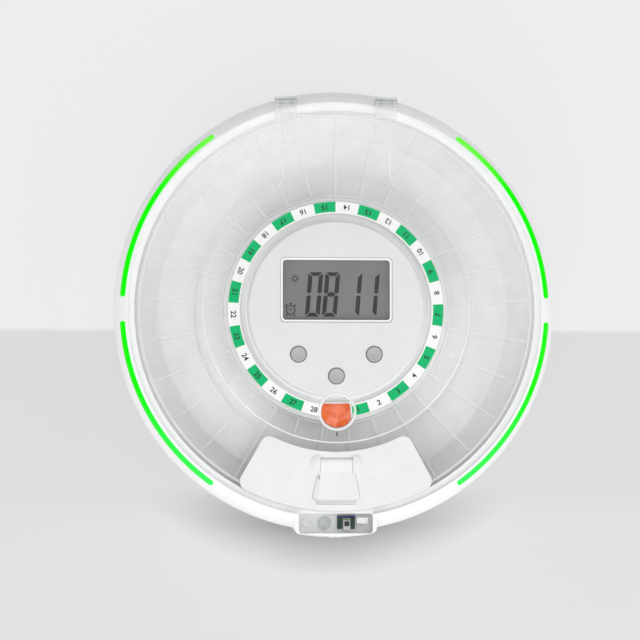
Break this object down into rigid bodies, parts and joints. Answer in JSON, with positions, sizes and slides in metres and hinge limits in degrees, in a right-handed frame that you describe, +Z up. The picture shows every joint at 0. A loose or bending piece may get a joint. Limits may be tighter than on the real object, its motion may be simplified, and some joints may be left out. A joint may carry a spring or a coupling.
{
  "type": "electronic pill box",
  "caption": "Round electronic pill dispenser: a geared tray of dose compartments turns under a clear, lockable, hinged lid with a flip gate, display and buttons.",
  "frame": {"origin": "on the tray's axis at the table, under the middle of the casing", "axes": "+Z up, -Y to the front with the lock and the gate, +Y to the lid's hinge, +X to the right"},
  "size_m": [0.22, 0.223, 0.0558],
  "materials": {
    "white_shell": "white ABS with a soft gloss",
    "clear_plastic": "clear polycarbonate, polished",
    "frosted_plastic": "translucent frosted polypropylene",
    "grey_button": "grey moulded plastic, fine grain",
    "light_guide": "clear green light guide, lit",
    "orange_marker": "orange printed marker",
    "number_label": "printed number ring, green and white blocks",
    "display_glass": "grey liquid crystal panel",
    "rubber": "dark moulded rubber",
    "circuit_board": "green solder mask on a board",
    "black_plastic": "black moulded housing",
    "battery_jacket": "battery cell with a satin jacket",
    "chrome_lock": "plated lock face",
    "steel": "bright steel"
  },
  "bodies": {
    "casing": {"base_shell": "white_shell", "battery_1": "battery_jacket", "battery_2": "battery_jacket", "battery_3": "battery_jacket", "battery_4": "battery_jacket", "battery_contact_front": "steel", "battery_contact_rear": "steel", "bottom_cover": "white_shell", "button_pad": "rubber", "buzzer": "black_plastic", "case_screw_1": "steel", "case_screw_2": "steel", "case_screw_3": "steel", "case_screw_4": "steel", "console_cover": "white_shell", "console_housing": "white_shell", "display_module": "display_glass", "display_window": "clear_plastic", "gear_motor": "steel", "hinge_pin_left": "steel", "hinge_pin_right": "steel", "latch_spring": "steel", "lid_switch": "black_plastic", "light_board": "circuit_board", "light_pipe_1": "light_guide", "light_pipe_2": "light_guide", "light_pipe_3": "light_guide", "light_pipe_4": "light_guide", "main_board": "circuit_board", "rubber_foot_1": "rubber", "rubber_foot_2": "rubber", "rubber_foot_3": "rubber", "rubber_foot_4": "rubber", "switch_board": "circuit_board"},
    "tray": {"pill_tray": "frosted_plastic", "tray_wall": "frosted_plastic", "tray_hub": "frosted_plastic", "tray_dividers": "frosted_plastic", "tray_gear_ring": "frosted_plastic", "dose_ring": "number_label", "home_marker": "orange_marker"},
    "pinion": {"drive_pinion": "frosted_plastic"},
    "lid": {"lid_shell": "clear_plastic", "lid_hook": "clear_plastic", "front_panel": "white_shell", "magnifier_lens": "clear_plastic", "gate_pin": "steel"},
    "gate": {"pill_gate": "white_shell"},
    "left_button": {"button_left": "grey_button"},
    "right_button": {"button_right": "grey_button"},
    "front_button": {"button_front": "grey_button"},
    "lock": {"lock_barrel": "chrome_lock", "lock_cam": "steel"},
    "door": {"battery_door": "white_shell"}
  },
  "joints": [
    {"name": "lid_hinge", "type": "hinge", "parent": "casing", "child": "lid", "pos_m": [0, 0.1034, 0.0465], "axis": [-1, 0, 0], "range_deg": [0, 105]},
    {"name": "gate_flip", "type": "hinge", "parent": "lid", "child": "gate", "pos_m": [0, -0.0752, 0.04973], "axis": [-1, 0, 0], "range_deg": [0, 100]},
    {"name": "tray_turn", "type": "hinge", "parent": "casing", "child": "tray", "pos_m": [0, 0, 0.035], "axis": [0, 0, 1], "continuous": true},
    {"name": "pinion_spin", "type": "hinge", "parent": "casing", "child": "pinion", "pos_m": [0, 0.0408, 0.0261], "axis": [0, 0, 1], "continuous": true},
    {"name": "left_button_press", "type": "slide", "parent": "casing", "child": "left_button", "axis": [0, 0, -1], "range_m": [0, 0.0007], "stiffness_N_per_m": 1500},
    {"name": "right_button_press", "type": "slide", "parent": "casing", "child": "right_button", "axis": [0, 0, -1], "range_m": [0, 0.0007], "stiffness_N_per_m": 1500},
    {"name": "front_button_press", "type": "slide", "parent": "casing", "child": "front_button", "axis": [0, 0, -1], "range_m": [0, 0.0007], "stiffness_N_per_m": 1500},
    {"name": "lock_turn", "type": "hinge", "parent": "casing", "child": "lock", "pos_m": [0, -0.108, 0.028], "axis": [0, -1, 0], "range_deg": [0, 90]},
    {"name": "battery_door_slide", "type": "slide", "parent": "casing", "child": "door", "axis": [0, -1, 0], "range_m": [0, 0.007]}
  ],
  "couplings": [
    {"joint": "pinion_spin", "follows": "tray_turn", "ratio": 5.8}
  ]
}
